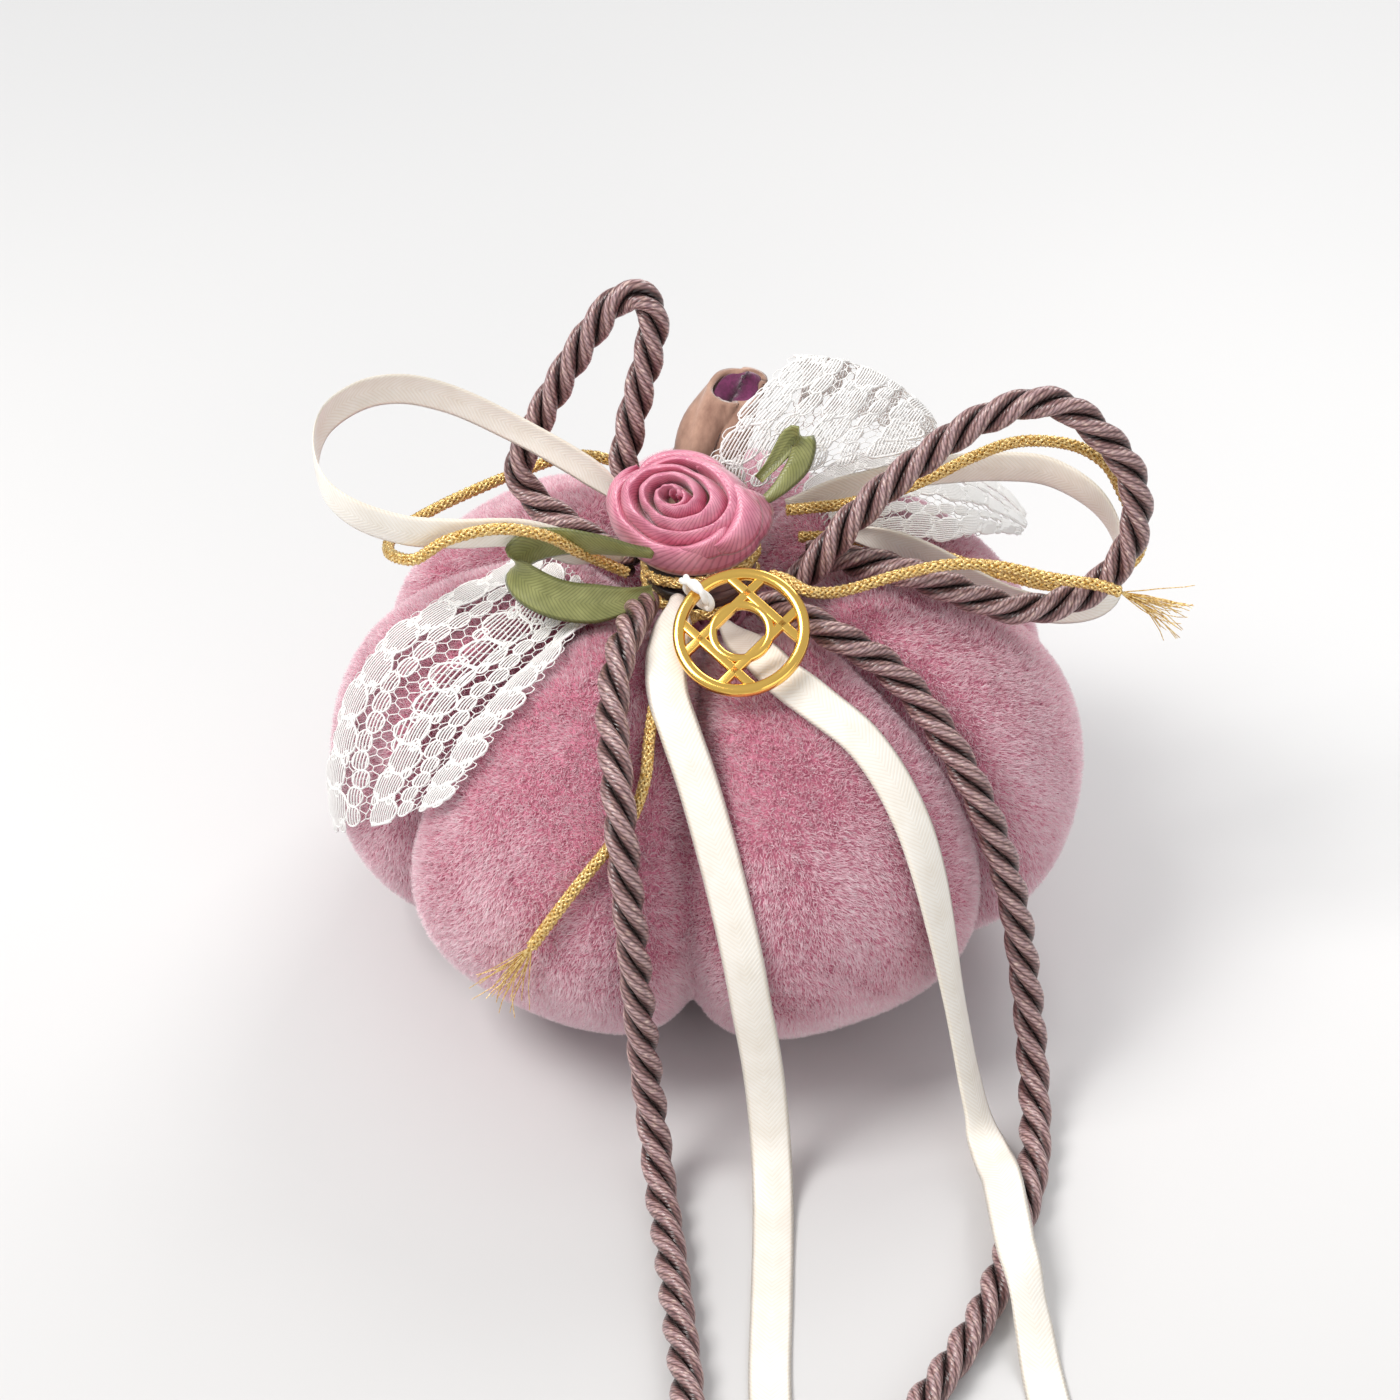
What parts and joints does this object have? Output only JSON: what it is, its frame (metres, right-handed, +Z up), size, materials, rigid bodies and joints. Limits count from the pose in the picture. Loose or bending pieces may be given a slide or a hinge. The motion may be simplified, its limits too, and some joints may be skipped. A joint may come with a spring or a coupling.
{
  "type": "ring bearer pillow",
  "caption": "Small lobed velvet ring bearer pillow with a bow of lace, satin ribbon, twisted rope and gold braid round a stem, a ribbon rose and a hanging round charm.",
  "frame": {"origin": "on the surface that the pillow rests on, under the middle of the pillow and its bow, with the trailing cords left out", "axes": "+Z up, -Y towards the front, where the tails trail, +X to the right"},
  "size_m": [0.1302, 0.2309, 0.1026],
  "materials": {
    "velvet_pink": "velvet pile",
    "fibre_white": "matt fibre",
    "thread_pink": "matt thread",
    "suede_tan": "suede",
    "felt_plum": "matt felt",
    "lace_white": "soft lace",
    "rope_mauve": "twisted satin yarn",
    "satin_cream": "satin",
    "braid_gold": "metallic braid",
    "satin_rose": "satin",
    "satin_olive": "satin",
    "brass_gold": "polished gold",
    "cord_white": "satin cord"
  },
  "bodies": {
    "pillow_and_bow": {"velvet_cover": "velvet_pink", "stuffing": "fibre_white", "shaping_thread_1": "thread_pink", "shaping_thread_2": "thread_pink", "shaping_thread_3": "thread_pink", "shaping_thread_4": "thread_pink", "shaping_thread_5": "thread_pink", "shaping_thread_6": "thread_pink", "shaping_thread_7": "thread_pink", "centre_thread": "thread_pink", "gather_thread": "thread_pink", "stem_wrap": "suede_tan", "stem_core": "felt_plum", "lace_tail_left": "lace_white", "lace_tail_right": "lace_white", "lace_loop": "lace_white", "rope_tail_left": "rope_mauve", "rope_tail_right": "rope_mauve", "rope_loop_right": "rope_mauve", "rope_loop_back": "rope_mauve", "braid_tail_left": "braid_gold", "braid_tail_right": "braid_gold", "braid_loop_left": "braid_gold", "braid_loop_right": "braid_gold", "ribbon_tail_front": "satin_cream", "ribbon_tail_right": "satin_cream", "ribbon_loop_left": "satin_cream", "ribbon_loop_right": "satin_cream", "rope_knot_left": "rope_mauve", "rope_knot_right": "rope_mauve", "braid_fray_left": "braid_gold", "braid_fray_right": "braid_gold", "bow_knot": "rope_mauve", "ribbon_rose": "satin_rose", "leaf_left": "satin_olive", "leaf_right": "satin_olive", "charm_tie": "cord_white"},
    "loop": {"charm_loop": "cord_white"},
    "charm": {"charm": "brass_gold"}
  },
  "joints": [
    {"name": "charm_sway", "type": "hinge", "parent": "pillow_and_bow", "child": "loop", "pos_m": [-0.0015, -0.0179, 0.0726], "axis": [0.1124, 0.4886, -0.8653], "range_deg": [-8, 20]},
    {"name": "charm_lift", "type": "hinge", "parent": "loop", "child": "charm", "pos_m": [-0.0015, -0.0179, 0.0726], "axis": [-0.7052, -0.5742, -0.4159], "range_deg": [0, 80]}
  ]
}
